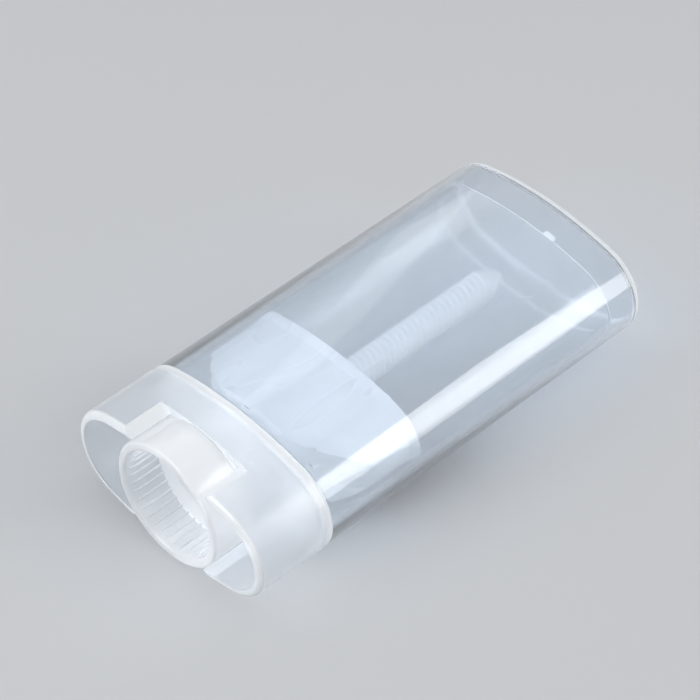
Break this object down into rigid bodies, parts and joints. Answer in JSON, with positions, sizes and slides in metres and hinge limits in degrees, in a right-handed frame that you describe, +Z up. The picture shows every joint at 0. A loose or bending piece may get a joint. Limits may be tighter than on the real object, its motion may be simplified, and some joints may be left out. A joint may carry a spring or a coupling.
{
  "type": "twist-up lip balm tube",
  "caption": "Oval twist-up lip balm container in natural translucent plastic, with slip-on cap, base wheel, lifting screw and platform, lying on a wide face.",
  "frame": {"origin": "middle of the overall length and width, on the level of the lowest line of the twist wheel", "axes": "+X along the tube from the wheel towards the closed end of the cap, +Y across the narrow ends, +Z up through the wide faces"},
  "size_m": [0.0712, 0.0354, 0.019],
  "materials": {
    "clear_pp": "clear glossy moulded polypropylene, slightly hazy",
    "frosted_pp": "natural translucent polypropylene, frosted and softly milky",
    "milky_pp": "natural polypropylene, milky, satin"
  },
  "bodies": {
    "tube": {"tube_body": "frosted_pp"},
    "cap": {"cap": "clear_pp"},
    "wheel": {"twist_wheel": "milky_pp"},
    "platform": {"lift_platform": "milky_pp"}
  },
  "joints": [
    {"name": "cap_pull", "type": "slide", "parent": "tube", "child": "cap", "axis": [1, 0, 0], "range_m": [0, 0.058]},
    {"name": "wheel_turn", "type": "hinge", "parent": "tube", "child": "wheel", "pos_m": [-0.03535, 0, 0.0095], "axis": [1, 0, 0], "range_deg": [0, 6300]},
    {"name": "platform_lift", "type": "slide", "parent": "tube", "child": "platform", "axis": [1, 0, 0], "range_m": [0, 0.035]}
  ],
  "couplings": [
    {"joint": "wheel_turn", "follows": "platform_lift", "rad_per_m": 3141.6}
  ]
}
